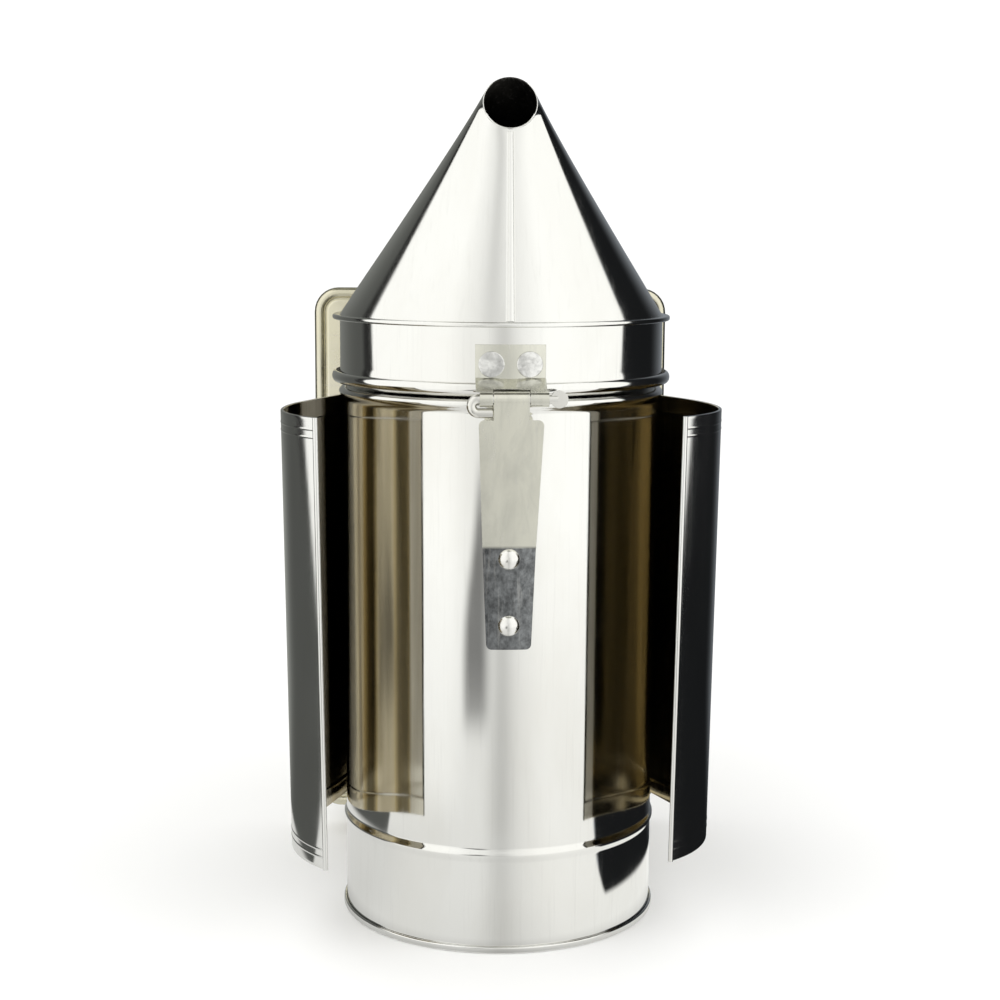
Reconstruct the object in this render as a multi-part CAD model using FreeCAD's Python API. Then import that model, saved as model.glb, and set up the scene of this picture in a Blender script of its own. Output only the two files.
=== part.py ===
import FreeCAD, Part
import math
import os

# Bee smoker. Millimetres, +Z up. The origin is the centre of the barrel's foot.
# The lid's hinge and the smoke mouth are towards -Y, the bellows towards +Y.

Vec = FreeCAD.Vector
up = Vec(0, 0, 1)
along_x = Vec(1, 0, 0)
along_y = Vec(0, 1, 0)

# sheet and fits
sheet = 0.5                 # barrel, lid and shield sheet
strap_sheet = 0.8           # hinge and lift tab sheet
tray_sheet = 0.6            # bellows trays and spring seats
pin_clearance = 0.05        # round the hinge pin
body_clearance = 0.3        # between soft or curved pieces of different bodies
bolt_clearance = 0.15

# barrel
barrel_radius = 50.0        # outside
neck_top = 180.0            # top of the neck, inside the lid
base_thickness = 0.6
foot_lip = 1.0              # how far the base's rolled rim stands out
foot_height = 2.2
low_bead_z = 31.0
low_bead_height = 4.0
low_bead_depth = 0.5
top_bead_z = neck_top - 10.6
top_bead_height = 5.0
top_bead_depth = 1.4

# lid
collar_gap = 0.8            # between the neck and the collar
edge_roll_radius = 1.3
edge_roll_z = neck_top - 5.9    # centre of the rolled edge of the collar
seam_z = neck_top + 13.0    # middle of the seam between collar and cone
seam_width = 2.3            # how far the seam stands out from the collar
mouth_radius = 8.1
mouth_y = -0.84 * barrel_radius
mouth_z = seam_z + 63.8
mouth_tilt = 20.0           # the mouth's axis above horizontal, degrees
fold_width = 2.0            # standing seam down the cone
fold_height = 0.7
tab_rivet_x = 4.4           # the lift tab's rivets stand this far from its middle

# hinge
pin_radius = 1.45
pin_y = -barrel_radius - 7.0
pin_z = neck_top - 8.5
pin_hook_x = -9.6           # where the wire turns back
pin_hook_gap = 0.35          # between the knuckle and the wire under it
pin_head_radius = 2.6
pin_head_thickness = 1.9
pin_head_gap = 0.4
middle_knuckle_half = 5.2
side_knuckle_start = 5.5
side_knuckle_end = 10.9
hook_knuckle_end = 9.3      # the knuckle beside the wire's hook is shorter
strap_bottom_z = pin_z - 75.9
strap_bend_z = pin_z - 45.2
strap_shoulder_z = pin_z - 6.1
strap_corner = 1.6
strap_bottom_width = 13.4
strap_top_width = 19.2
strap_rivet_z = (strap_bottom_z + 7.2, strap_bend_z - 3.3)
leaf_width = 20.8
leaf_top_z = neck_top + 7.0
leaf_bend_z = neck_top - 2.8
leaf_rivet_z = neck_top + 1.2
leaf_rivet_x = 5.5

# rivets
rivet_shank = 1.6
dome_radius = 3.35
dome_height = 1.9
flat_head_radius = 3.9
flat_head_height = 0.9
tail_radius = 2.6
barrel_tail_height = 0.8
drill_margin = 5.0          # how far a rivet hole is cut to each side of the wall

# heat shield, plan shape of each side from the back round to the front edge
shield_bottom_z = 31.0
shield_top_z = neck_top - 13.6
shield_gap = 3.75           # between the barrel's back and the shield
shield_flare_radius = 60.0
shield_curl_radius = 38.0
shield_hem = 6.0
shield_edge_roll = 0.75
shield_sides = (
    {"side": 1, "flare_top": 26.7, "flare_bottom": 22.4, "straight": 25.9, "curl": 53.0},
    {"side": -1, "flare_top": 24.0, "flare_bottom": 20.4, "straight": 33.2, "curl": 45.0},
)

# brackets behind the shield
bracket_height = 16.0
bracket_z = (shield_bottom_z + 19.0, shield_top_z - 20.4)
bracket_middle_z = sum(bracket_z) / 2
bracket_foot_half = 13.0
bracket_flange_half = 27.0
bracket_sheet = 1.0
spacer_wall = 1.5
bracket_rivet_pitch = 9.0
bracket_bolt_x = 20.0
bolt_radius = 2.0
bolt_head_radius = 3.8
bolt_head_height = 2.4
bolt_slot_width = 1.0
bolt_tip = 1.0              # how far a bolt stands out of its nut
nut_across_flats = 7.0
nut_height = 3.2

# bellows
tray_front_y = barrel_radius + 14.0
tray_width = 123.0
tray_bottom_z = 12.0
tray_top_z = neck_top + 19.0
tray_depth = 9.0
tray_corner = 8.0
tray_rim_roll = 1.0
tray_rim_start = 0.6        # from the tray's face to its rolled rim
board_thickness = 5.0
leather = 1.2
closed_gap = 2.0            # between the trays when the bellows are shut
bellows_lean = 20.0         # how far the rear board leans back at rest, degrees
tack_head_radius = 1.6
tack_head_height = 0.5
tack_shank = 0.6
tack_length = 5.0
tack_end_margin = 20.0      # from the tray's ends to the first tack
tacks_per_side = 6
tack_bite = 0.1             # overlap of head and shank
spring_z = bracket_middle_z + 22.0
spring_radius = 15.0
spring_wire = 1.1
spring_turns = 6
spring_end_gap = 1.0
seat_cup_height = 2.5
seat_cup_margin = 2.2       # from the spring to the cup's outside
valve_z = bracket_middle_z - 23.0
valve_radius = 11.0
valve_ring_width = 3.0
valve_ring_sheet = 0.6
flap_overlap = 5.0
flap_thickness = 1.4
flap_tail_share = 0.6       # width of the flap's root as a share of the flap
flap_gap = 0.5
flap_strip_height = 9.0
flap_rivet_x = 5.5
flap_rivet_rise = 5.0
flap_rivet_radius = 1.0
flap_rivet_head = 2.2
flap_rivet_height = 0.7

# air path
inlet_z = 22.0
inlet_radius = 7.0
inlet_wall = 0.7
inlet_end_y = barrel_radius + 10.0
inlet_start_y = barrel_radius - 5.0
outlet_radius = 6.0

# grate
grate_z = 34.0
grate_sheet = 1.0
grate_gap = 1.2
grate_hole_radius = 2.5
grate_hole_pitch = 9.0
grate_leg_width = 10.0
grate_leg_shelf = 5.0
grate_leg_places = (-90.0, 30.0, 150.0)

# lift tab
tab_width = 16.0
tab_bottom_z = neck_top - 2.0
tab_bend_z = neck_top + 8.0
tab_reach = 5.0
tab_top_z = neck_top + 24.0
tab_rivet_z = neck_top + 3.0

collar_inner = barrel_radius + collar_gap
collar_outer = collar_inner + sheet
lid_tail_height = collar_gap / 2
sunk_start = -0.75 * strap_sheet    # where a sloping plate leaves the curved sheet
knuckle_radius = pin_radius + pin_clearance + strap_sheet
pin_hook_radius = (knuckle_radius + pin_radius + pin_hook_gap) / 2
shield_path_radius = barrel_radius + shield_gap + sheet / 2
hinge_line_y = tray_front_y + tray_depth + closed_gap / 2
hinge_line_z = tray_bottom_z


def point(radius, z):
    return Vec(radius, 0, z)


def arc(start, middle, end):
    return Part.Arc(start, middle, end).toShape()


def path(start, steps):
    """Edges from start through steps: a point is a line, a pair (middle, end) is an arc."""
    edges = []
    for step in steps:
        if isinstance(step, tuple):
            middle, end = step
            edges.append(arc(start, middle, end))
        else:
            end = step
            edges.append(Part.LineSegment(start, end).toShape())
        start = end
    return edges


def face_of(start, steps):
    return Part.Face(Part.Wire(path(start, steps)))


def turned(start, steps):
    """A full turn about Z of an outline given as radius and height."""
    return face_of(start, steps).revolve(Vec(0, 0, 0), up, 360)


def ring(inner, outer, low, high):
    body = Part.makeCylinder(outer, high - low, Vec(0, 0, low))
    return body.cut(Part.makeCylinder(inner, high - low, Vec(0, 0, low)))


def rod(radius, start, end):
    span = end - start
    return Part.makeCylinder(radius, span.Length, start, span)


def tube(outer, inner, start, end):
    return rod(outer, start, end).cut(rod(inner, start, end))


def box(low, high):
    return Part.makeBox(high.x - low.x, high.y - low.y, high.z - low.z, low)


def plate_in_x(corners, half_width):
    """A plate whose outline is in the YZ plane, as wide as twice half_width."""
    steps = [Vec(-half_width, y, z) for y, z in corners]
    steps.append(steps[0])
    return face_of(steps[0], steps[1:]).extrude(Vec(2 * half_width, 0, 0))


def spread(shape, places):
    return [shape.rotated(Vec(0, 0, 0), up, place) for place in places]


def joined(shapes):
    """One solid from pieces that run into each other."""
    whole = shapes[0].fuse(list(shapes[1:]))
    return whole.removeSplitter()


def save(shape, node):
    shape.exportStep(os.path.join("parts", node + ".step"))


# ---- rivets ----

def radial_place(angle, radius, z):
    return Vec(radius * math.cos(angle), radius * math.sin(angle), z)


def shank_rod(angle, z, inner, outer):
    return rod(rivet_shank, radial_place(angle, inner, z), radial_place(angle, outer, z))


def rivet_hole(angle, z):
    """Through every sheet round the barrel at this angle and height."""
    return shank_rod(angle, z, barrel_radius - drill_margin, barrel_radius + 2 * drill_margin)


def domed_head(angle, z, surface):
    """A dome on a cylinder's surface, cut from a sphere."""
    sphere_radius = (dome_radius ** 2 + dome_height ** 2) / (2 * dome_height)
    centre = radial_place(angle, surface + dome_height - sphere_radius, z)
    sphere = Part.makeSphere(sphere_radius, centre)
    start = radial_place(angle, surface - dome_height / 2, z)
    return sphere.common(rod(dome_radius, start, radial_place(angle, surface + dome_height, z)))


def flat_head(angle, z, surface):
    start = radial_place(angle, surface - 1, z)
    return rod(flat_head_radius, start, radial_place(angle, surface + flat_head_height, z))


def rivet(angle, z, inner, outer, head, tail_height):
    """A rivet through the sheets between the inner and outer radius, with a tail inside."""
    around = Part.makeCylinder(outer, 2 * z)
    within = Part.makeCylinder(inner, 2 * z)
    tail = rod(tail_radius, radial_place(angle, inner - tail_height, z), radial_place(angle, inner + 1, z))
    shank = shank_rod(angle, z, inner - tail_height, outer + sheet)
    return joined([head(angle, z, outer).cut(around), shank, tail.common(within)])


# ---- barrel ----

def bead(radius, z, height, depth):
    """Steps up a wall past a pressed bead: a line to its foot, then one arc over it."""
    low = point(radius, z - height / 2)
    high = point(radius, z + height / 2)
    return [low, (point(radius + depth, z), high)]


def make_barrel_shell():
    outer = barrel_radius
    inner = barrel_radius - sheet
    low = (low_bead_z, low_bead_height, low_bead_depth)
    top = (top_bead_z, top_bead_height, top_bead_depth)
    steps = bead(outer, *low) + bead(outer, *top) + [point(outer, neck_top), point(inner, neck_top)]
    for z, height, depth in (top, low):
        steps.append(point(inner, z + height / 2))
        steps.append((point(inner + depth, z), point(inner, z - height / 2)))
    steps += [point(inner, base_thickness), point(outer, base_thickness)]
    return turned(point(outer, base_thickness), steps)


def make_base_plate():
    lip = barrel_radius + foot_lip
    soft = foot_lip / 2
    middle = soft * (1 - math.sqrt(0.5))
    steps = [
        point(lip - soft, 0),
        (point(lip - middle, middle), point(lip, soft)),
        point(lip, foot_height - soft),
        (point(lip - middle, foot_height - middle), point(lip - soft, foot_height)),
        point(barrel_radius, foot_height),
        point(barrel_radius, base_thickness),
        point(0, base_thickness),
        point(0, 0),
    ]
    return turned(point(0, 0), steps)


def make_air_inlet():
    start = Vec(0, inlet_start_y, inlet_z)
    end = Vec(0, inlet_end_y, inlet_z)
    return tube(inlet_radius, inlet_radius - inlet_wall, start, end)


# ---- hinge ----

def tangent_point(start, side):
    """Where the line from start runs into the knuckle's outside: (y, z), in the YZ plane."""
    touch = knuckle_radius - pin_clearance
    to_pin = complex(pin_y - start[0], pin_z - start[1])
    heading = math.atan2(to_pin.imag, to_pin.real) + side * math.asin(touch / abs(to_pin))
    length = math.sqrt(abs(to_pin) ** 2 - touch ** 2)
    return (start[0] + length * math.cos(heading), start[1] + length * math.sin(heading))


def sloping_plate(start, side, half_width):
    """Sheet from start to the knuckle's outside, with its thickness on the pin's side."""
    end = tangent_point(start, side)
    run = Vec(0, end[0] - start[0], end[1] - start[1]).normalize()
    inward = run.cross(along_x) * side * strap_sheet
    corners = [start, end, (end[0] + inward.y, end[1] + inward.z), (start[0] + inward.y, start[1] + inward.z)]
    return plate_in_x(corners, half_width)


def knuckle(start_x, end_x):
    outside = knuckle_radius
    bore = pin_radius + pin_clearance
    return tube(outside, bore, Vec(start_x, pin_y, pin_z), Vec(end_x, pin_y, pin_z))


def make_hinge_strap():
    surface = barrel_radius + strap_sheet
    half_top = strap_top_width / 2
    half_bottom = strap_bottom_width / 2
    lower = ring(barrel_radius, surface, strap_bottom_z, strap_bend_z + strap_sheet / 2)
    upper = sloping_plate((sunk_start - barrel_radius, strap_bend_z), 1, strap_top_width)
    upper = upper.cut(Part.makeCylinder(barrel_radius, neck_top))
    foot = Vec(-half_bottom, 0, strap_bottom_z)
    steps = [
        Vec(half_bottom, 0, strap_bottom_z),
        Vec(half_top, 0, strap_shoulder_z),
        Vec(-half_top, 0, strap_shoulder_z),
        foot,
    ]
    outline = face_of(foot, steps).extrude(Vec(0, -2 * barrel_radius, 0))
    corners = [edge for edge in outline.Edges if abs(edge.tangentAt(edge.FirstParameter).y) > 0.9]
    outline = outline.makeFillet(strap_corner, corners)
    tongue = box(
        Vec(-middle_knuckle_half, -2 * barrel_radius, strap_shoulder_z - 2),
        Vec(middle_knuckle_half, 0, pin_z + knuckle_radius),
    )
    strap = joined([lower, upper]).common(joined([outline, tongue]))
    strap = joined([strap, knuckle(-middle_knuckle_half, middle_knuckle_half)])
    bore = rod(pin_radius + pin_clearance, Vec(-leaf_width, pin_y, pin_z), Vec(leaf_width, pin_y, pin_z))
    return strap.cut(bore)


def make_lid_leaf():
    surface = collar_outer + strap_sheet
    half = leaf_width / 2
    flat = ring(collar_outer, surface, leaf_bend_z - strap_sheet / 2, leaf_top_z)
    flat = flat.common(box(Vec(-half, -surface - sheet, 0), Vec(half, 0, leaf_top_z)))
    slope = sloping_plate((sunk_start - collar_outer, leaf_bend_z), -1, half)
    room = rod(
        knuckle_radius + 2 * body_clearance,
        Vec(-side_knuckle_start, pin_y, pin_z),
        Vec(side_knuckle_start, pin_y, pin_z),
    )
    hook_room = box(
        Vec(-half, pin_y - 2 * knuckle_radius, pin_z - knuckle_radius),
        Vec(-hook_knuckle_end, pin_y + knuckle_radius, pin_z + knuckle_radius),
    )
    slope = slope.cut([room, hook_room])
    leaf = joined([
        flat,
        slope,
        knuckle(-hook_knuckle_end, -side_knuckle_start),
        knuckle(side_knuckle_start, side_knuckle_end),
    ])
    bore = rod(pin_radius + pin_clearance, Vec(-leaf_width, pin_y, pin_z), Vec(leaf_width, pin_y, pin_z))
    return leaf.cut(bore)


def make_hinge_pin():
    drop = 2 * pin_hook_radius
    start = Vec(side_knuckle_end + pin_head_radius, pin_y, pin_z)
    turn = Vec(pin_hook_x, pin_y, pin_z)
    turn_middle = Vec(pin_hook_x - pin_hook_radius, pin_y, pin_z - pin_hook_radius)
    back = Vec(pin_hook_x, pin_y, pin_z - drop)
    end = Vec(-side_knuckle_start, pin_y, pin_z - drop)
    route = Part.Wire(path(start, [turn, (turn_middle, back), end]))
    section = Part.Wire(Part.makeCircle(pin_radius, start, along_x))
    wire = route.makePipeShell([section], True, False)
    head_x = side_knuckle_end + pin_head_gap + pin_head_radius
    half = pin_head_thickness / 2
    head = rod(pin_head_radius, Vec(head_x, pin_y - half, pin_z), Vec(head_x, pin_y + half, pin_z))
    return joined([wire, head])


# ---- lid ----

def edge_torus(radius):
    """A ring along the centre of the collar's rolled edge, which bites a little into the wall."""
    reach = collar_outer + edge_roll_radius - sheet / 5
    return Part.makeTorus(reach, radius, Vec(0, 0, edge_roll_z))


def make_lid_collar():
    roll = edge_torus(edge_roll_radius)
    hollow = edge_torus(edge_roll_radius - sheet)
    wall = ring(collar_inner, collar_outer, edge_roll_z - edge_roll_radius / 2, seam_z)
    flange = ring(collar_inner, collar_outer + seam_width - sheet, seam_z - sheet, seam_z)
    return joined([wall, flange, roll]).cut(hollow)


def base_ring(radius, z):
    front, right, back, left = [Vec(x * radius, y * radius, z) for x, y in ((0, -1), (1, 0), (0, 1), (-1, 0))]
    return Part.Wire([arc(left, front, right), arc(right, back, left)])


def mouth_ring(radius):
    tilt = math.radians(mouth_tilt)
    rise = Vec(0, math.sin(tilt), math.cos(tilt)) * radius
    centre = Vec(0, mouth_y, mouth_z)
    side = along_x * radius
    lower = arc(centre - side, centre - rise, centre + side)
    upper = arc(centre + side, centre + rise, centre - side)
    return Part.Wire([lower, upper])


def make_lid_cone():
    foot_z = seam_z + sheet
    outer = Part.makeLoft([base_ring(collar_outer, foot_z), mouth_ring(mouth_radius)], True, True)
    inner = Part.makeLoft([base_ring(collar_inner, foot_z), mouth_ring(mouth_radius - sheet)], True, True)
    lip = collar_outer + seam_width
    over = ring(collar_inner, lip, seam_z, foot_z)
    wrap = ring(lip - sheet, lip, seam_z - 2 * sheet, seam_z)
    under = ring(lip - seam_width / 2, lip, seam_z - 2 * sheet, seam_z - sheet)
    tilt = math.radians(mouth_tilt)
    low = Vec(0, -collar_outer, foot_z)
    high = Vec(0, mouth_y - mouth_radius * math.sin(tilt), mouth_z - mouth_radius * math.cos(tilt))
    run = (high - low).normalize()
    out = run.cross(along_x).normalize()
    out = out if out.y < 0 else -out
    bite = out * (sheet / 3)
    start = low - bite
    end = high - bite
    side = along_x * (fold_width / 2)
    thick = bite + out * fold_height
    steps = [start + side, start + side + thick, start - side + thick, start - side]
    fold = face_of(steps[-1], steps).extrude(end - start)
    seam = joined([over, wrap, under])
    return joined([outer.cut(inner), fold, seam])


def make_lift_tab():
    surface = collar_outer + strap_sheet
    half = tab_width / 2
    flat = ring(collar_outer, surface, tab_bottom_z, tab_bend_z)
    flat = flat.common(box(Vec(-half, 0, 0), Vec(half, surface + sheet, tab_bend_z)))
    bend = strap_sheet
    reach = surface + tab_reach
    corners = [
        (surface - bend, tab_bend_z - bend),
        (surface, tab_bend_z - bend),
        (reach, tab_bend_z + tab_reach / 2 - bend),
        (reach, tab_top_z),
        (reach - bend, tab_top_z),
        (reach - bend, tab_bend_z + tab_reach / 2),
        (surface - bend, tab_bend_z),
    ]
    return joined([flat, plate_in_x(corners, half)])


# ---- heat shield ----

def side_points(side, flare, offset, z):
    """Points and arc middles of one side of the shield at height z, offset outwards."""
    turn = math.radians(flare)
    curl = math.radians(side["curl"])
    radius = shield_path_radius

    def place(centre, reach, angle):
        return centre + Vec(reach * math.cos(angle), reach * math.sin(angle), 0)

    centre = Vec(0, 0, z)
    bend = place(centre, radius, turn)
    bend = bend + Vec(math.sin(turn), -math.cos(turn), 0) * side["straight"]
    normal = Vec(math.cos(turn), math.sin(turn), 0)
    flare_centre = bend - normal * shield_flare_radius
    curl_centre = flare_centre + along_x * (shield_flare_radius - shield_curl_radius)
    flare_reach = shield_flare_radius + offset
    curl_reach = shield_curl_radius + offset
    half_turn = (math.pi / 2 + turn) / 2
    points = [
        place(centre, radius + offset, math.pi / 2),
        place(centre, radius + offset, half_turn),
        place(centre, radius + offset, turn),
        bend + normal * offset,
        place(flare_centre, flare_reach, turn / 2),
        place(flare_centre, flare_reach, 0),
        place(curl_centre, curl_reach, -curl / 2),
        place(curl_centre, curl_reach, -curl),
    ]
    return [Vec(side["side"] * p.x, p.y, p.z) for p in points]


def side_section(side, z, low_offset, high_offset):
    share = (z - shield_bottom_z) / (shield_top_z - shield_bottom_z)
    flare = side["flare_bottom"] + share * (side["flare_top"] - side["flare_bottom"])
    out = side_points(side, flare, high_offset, z)
    back = side_points(side, flare, low_offset, z)
    steps = [(out[1], out[2]), out[3], (out[4], out[5]), (out[6], out[7]), back[7]]
    steps += [(back[6], back[5]), (back[4], back[3]), back[2], (back[1], back[0]), out[0]]
    return Part.Wire(path(out[0], steps))


def side_sheet(side, low_z, high_z, low_offset, high_offset):
    sections = [side_section(side, z, low_offset, high_offset) for z in (low_z, high_z)]
    return Part.makeLoft(sections, True, True)


def front_edge(side):
    """The rolled edge at the side's front, as a slanting round bar with level ends."""
    circles = []
    for z, flare in ((shield_bottom_z, side["flare_bottom"]), (shield_top_z, side["flare_top"])):
        centre = side_points(side, flare, 0, z)[-1]
        circles.append(Part.Wire(Part.makeCircle(shield_edge_roll, centre, up)))
    return Part.makeLoft(circles, True, True)


def make_heat_shield():
    """Each side is three layers: the sheet, and above and below it the sheet with its hem folded inside."""
    half = sheet / 2
    low_hem = shield_bottom_z + shield_hem
    high_hem = shield_top_z - shield_hem
    pieces = []
    for side in shield_sides:
        pieces.append(side_sheet(side, low_hem, high_hem, -half, half))
        pieces.append(side_sheet(side, shield_bottom_z, low_hem, -half - sheet, half))
        pieces.append(side_sheet(side, high_hem, shield_top_z, -half - sheet, half))
        pieces.append(front_edge(side))
    return joined(pieces)


# ---- brackets and their fasteners ----

def make_bracket(z):
    """A hat-shaped strip: its foot follows the shield's back, its flanges lie on the tray."""
    inner = shield_path_radius + sheet / 2
    outer = inner + bracket_sheet
    low = z - bracket_height / 2
    high = z + bracket_height / 2
    foot = ring(inner, outer, low, high)
    foot = foot.common(box(Vec(-bracket_foot_half, 0, low), Vec(bracket_foot_half, outer + sheet, high)))
    leg_start = math.sqrt(inner ** 2 - bracket_foot_half ** 2)
    pieces = [foot]
    for side in (-1, 1):
        near = side * bracket_foot_half
        legs = sorted((near, near - side * bracket_sheet))
        pieces.append(box(Vec(legs[0], leg_start, low), Vec(legs[1], tray_front_y, high)))
        ends = sorted((near - side * bracket_sheet, side * bracket_flange_half))
        flange_y = tray_front_y - bracket_sheet
        pieces.append(box(Vec(ends[0], flange_y, low), Vec(ends[1], tray_front_y, high)))
    return joined(pieces).cut(Part.makeCylinder(inner, high - low, Vec(0, 0, low)))


def bracket_rivet_heights():
    return [z + side * bracket_rivet_pitch / 2 for z in bracket_z for side in (-1, 1)]


def bolt_places():
    return [(side * bracket_bolt_x, z) for z in bracket_z for side in (-1, 1)]


def make_bolt(x, z):
    seat = tray_front_y - bracket_sheet
    end = tray_front_y + tray_sheet + board_thickness + nut_height + bolt_tip
    head = rod(bolt_head_radius, Vec(x, seat - bolt_head_height, z), Vec(x, seat, z))
    rim = [edge for edge in head.Edges if abs(edge.BoundBox.YMax - (seat - bolt_head_height)) < 0.01]
    head = head.makeFillet(bolt_head_height / 2.5, rim)
    slot = box(
        Vec(x - bolt_head_radius, seat - bolt_head_height, z - bolt_slot_width / 2),
        Vec(x + bolt_head_radius, seat - bolt_head_height / 2, z + bolt_slot_width / 2),
    )
    return joined([head.cut(slot), rod(bolt_radius, Vec(x, seat, z), Vec(x, end, z))])


def make_nut(x, z):
    reach = nut_across_flats / math.sqrt(3)
    start_y = tray_front_y + tray_sheet + board_thickness
    angles = [math.radians(60 * turn) for turn in range(7)]
    corners = [Vec(x + reach * math.cos(a), start_y, z + reach * math.sin(a)) for a in angles]
    body = face_of(corners[0], corners[1:]).extrude(Vec(0, nut_height, 0))
    return body.cut(rod(bolt_radius, Vec(x, start_y, z), Vec(x, start_y + nut_height, z)))


# ---- bellows ----

def rounded_outline(inset, y):
    """The tray's rounded rectangle, made smaller by inset, in the plane at y."""
    half = tray_width / 2 - inset
    low = tray_bottom_z + inset
    high = tray_top_z - inset
    corner = tray_corner - inset
    cut = corner * (1 - math.sqrt(0.5))
    steps = [
        Vec(half - corner, y, low),
        (Vec(half - cut, y, low + cut), Vec(half, y, low + corner)),
        Vec(half, y, high - corner),
        (Vec(half - cut, y, high - cut), Vec(half - corner, y, high)),
        Vec(corner - half, y, high),
        (Vec(cut - half, y, high - cut), Vec(-half, y, high - corner)),
        Vec(-half, y, low + corner),
        (Vec(cut - half, y, low + cut), Vec(corner - half, y, low)),
    ]
    return Part.Wire(path(steps[-1][1], steps))


def slab(inset, start_y, end_y):
    return Part.Face(rounded_outline(inset, start_y)).extrude(Vec(0, end_y - start_y, 0))


def make_tray(holes):
    """Front tray: a flat face at tray_front_y with its rim turned back towards +Y."""
    end_y = tray_front_y + tray_depth
    body = slab(0, tray_front_y, end_y).cut(slab(tray_sheet, tray_front_y + tray_sheet, end_y))
    roll_start = tray_front_y + tray_rim_start
    roll_end = roll_start + 2 * tray_rim_roll
    roll = slab(-tray_rim_roll / 2, roll_start, roll_end).cut(slab(tray_sheet / 2, roll_start, roll_end))
    return joined([body, roll]).cut(holes)


def make_board(holes):
    start_y = tray_front_y + tray_sheet
    return slab(tray_sheet + leather, start_y, start_y + board_thickness).cut(holes)


def tack_places():
    """Middle heights and widths of the tacks round the tray's rim, with the way each one points."""
    half = tray_width / 2
    sides = []
    for side in (-1, 1):
        for step in range(tacks_per_side):
            share = step / (tacks_per_side - 1)
            z = tray_bottom_z + tack_end_margin + share * (tray_top_z - tray_bottom_z - 2 * tack_end_margin)
            sides.append((Vec(side * half, 0, z), Vec(side, 0, 0)))
        sides.append((Vec(side * half / 2, 0, tray_top_z), Vec(0, 0, 1)))
    sides.append((Vec(0, 0, tray_top_z), Vec(0, 0, 1)))
    return sides


def tack_depth():
    return tray_front_y + tray_sheet + board_thickness / 2 + tray_rim_roll


def make_tacks(solids):
    tacks = []
    for place, outward in tack_places():
        start = place + along_y * tack_depth()
        head = rod(tack_head_radius, start - outward * tack_bite, start + outward * tack_head_height)
        shank = rod(tack_shank, start - outward * tack_length, start)
        tacks.append(joined([head, shank]).cut(solids))
    return Part.makeCompound(tacks)


def tack_holes():
    holes = []
    for place, outward in tack_places():
        start = place + along_y * tack_depth()
        holes.append(rod(tack_shank, start - outward * tack_length, start + outward))
    return holes


def mirrored_back(shape):
    """Turns a front piece into its partner on the shut rear board, then leans it back."""
    middle = Vec(0, hinge_line_y, 0)
    partner = shape.mirror(middle, along_y)
    return leaned(partner)


def leaned(shape):
    return shape.rotated(Vec(0, hinge_line_y, hinge_line_z), along_x, -bellows_lean)


def leaned_point(y, z):
    """A point of the shut rear board, after leaning back."""
    turn = math.radians(bellows_lean)
    step_y = y - hinge_line_y
    step_z = z - hinge_line_z
    new_y = hinge_line_y + step_y * math.cos(turn) + step_z * math.sin(turn)
    new_z = hinge_line_z - step_y * math.sin(turn) + step_z * math.cos(turn)
    return Vec(0, new_y, new_z)


def make_leather():
    """The gusset as one plain skin: a collar in the front tray, then a wedge to the rear tray."""
    skin = tray_sheet + body_clearance
    edge_y = tray_front_y + tray_depth
    start_y = tray_front_y + tray_sheet
    collar = slab(tray_sheet, start_y, edge_y).cut(slab(tray_sheet + leather, start_y, edge_y))
    far_y = edge_y + closed_gap + tray_sheet
    near = [rounded_outline(inset, edge_y) for inset in (tray_sheet, tray_sheet + leather)]
    far = [leaned(rounded_outline(inset, far_y)) for inset in (skin, skin + leather)]
    outer = Part.makeLoft([near[0], far[0]], True, True)
    inner = Part.makeLoft([near[1], far[1]], True, True)
    return joined([collar, outer.cut(inner)])


def spring_ends():
    near = Vec(0, tray_front_y + tray_sheet + board_thickness, spring_z)
    far_y = 2 * hinge_line_y - near.y
    far = leaned_point(far_y, spring_z)
    return near, far


def make_spring():
    """Coil between the two boards, on the line that joins their seats."""
    near, far = spring_ends()
    line = (far - near).normalize()
    margin = spring_wire + seat_cup_height / 2
    start = near + line * (margin + spring_end_gap)
    length = (far - near).Length - 2 * (margin + spring_end_gap + spring_wire + pin_clearance * 2)
    helix = Part.makeHelix(length / spring_turns, length, spring_radius - spring_wire)
    section = Part.Wire(Part.makeCircle(spring_wire, Vec(spring_radius - spring_wire, 0, 0), along_y))
    coil = Part.Wire(helix.Edges).makePipeShell([section], True, True)
    coil.Placement = FreeCAD.Placement(start, FreeCAD.Rotation(up, line))
    return coil


def seat_cup():
    start = tray_front_y + tray_sheet + board_thickness
    outer = spring_radius + seat_cup_margin
    low = Vec(0, start, spring_z)
    cup = rod(outer, low, low + along_y * seat_cup_height)
    bowl = rod(outer - tray_sheet, low + along_y * tray_sheet, low + along_y * seat_cup_height)
    return cup.cut(bowl)


def through_tray(radius, x, z):
    """A drill through the front tray and its board, or what is bolted to them."""
    return rod(radius, Vec(x, tray_front_y - drill_margin, z), Vec(x, tray_front_y + 3 * drill_margin, z))


def valve_hole():
    return through_tray(valve_radius, 0, valve_z)


def valve_ring():
    """Ring on the outside of the rear tray, drawn on the front tray's side before mirroring."""
    bore = valve_radius - valve_ring_sheet
    start = Vec(0, tray_front_y - valve_ring_sheet, valve_z)
    face = tube(valve_radius + valve_ring_width, bore, start, Vec(0, tray_front_y, valve_z))
    sleeve = tube(valve_radius, bore, start, Vec(0, flap_start(), valve_z))
    return joined([face, sleeve])


def flap_start():
    return tray_front_y + tray_sheet + board_thickness


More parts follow.
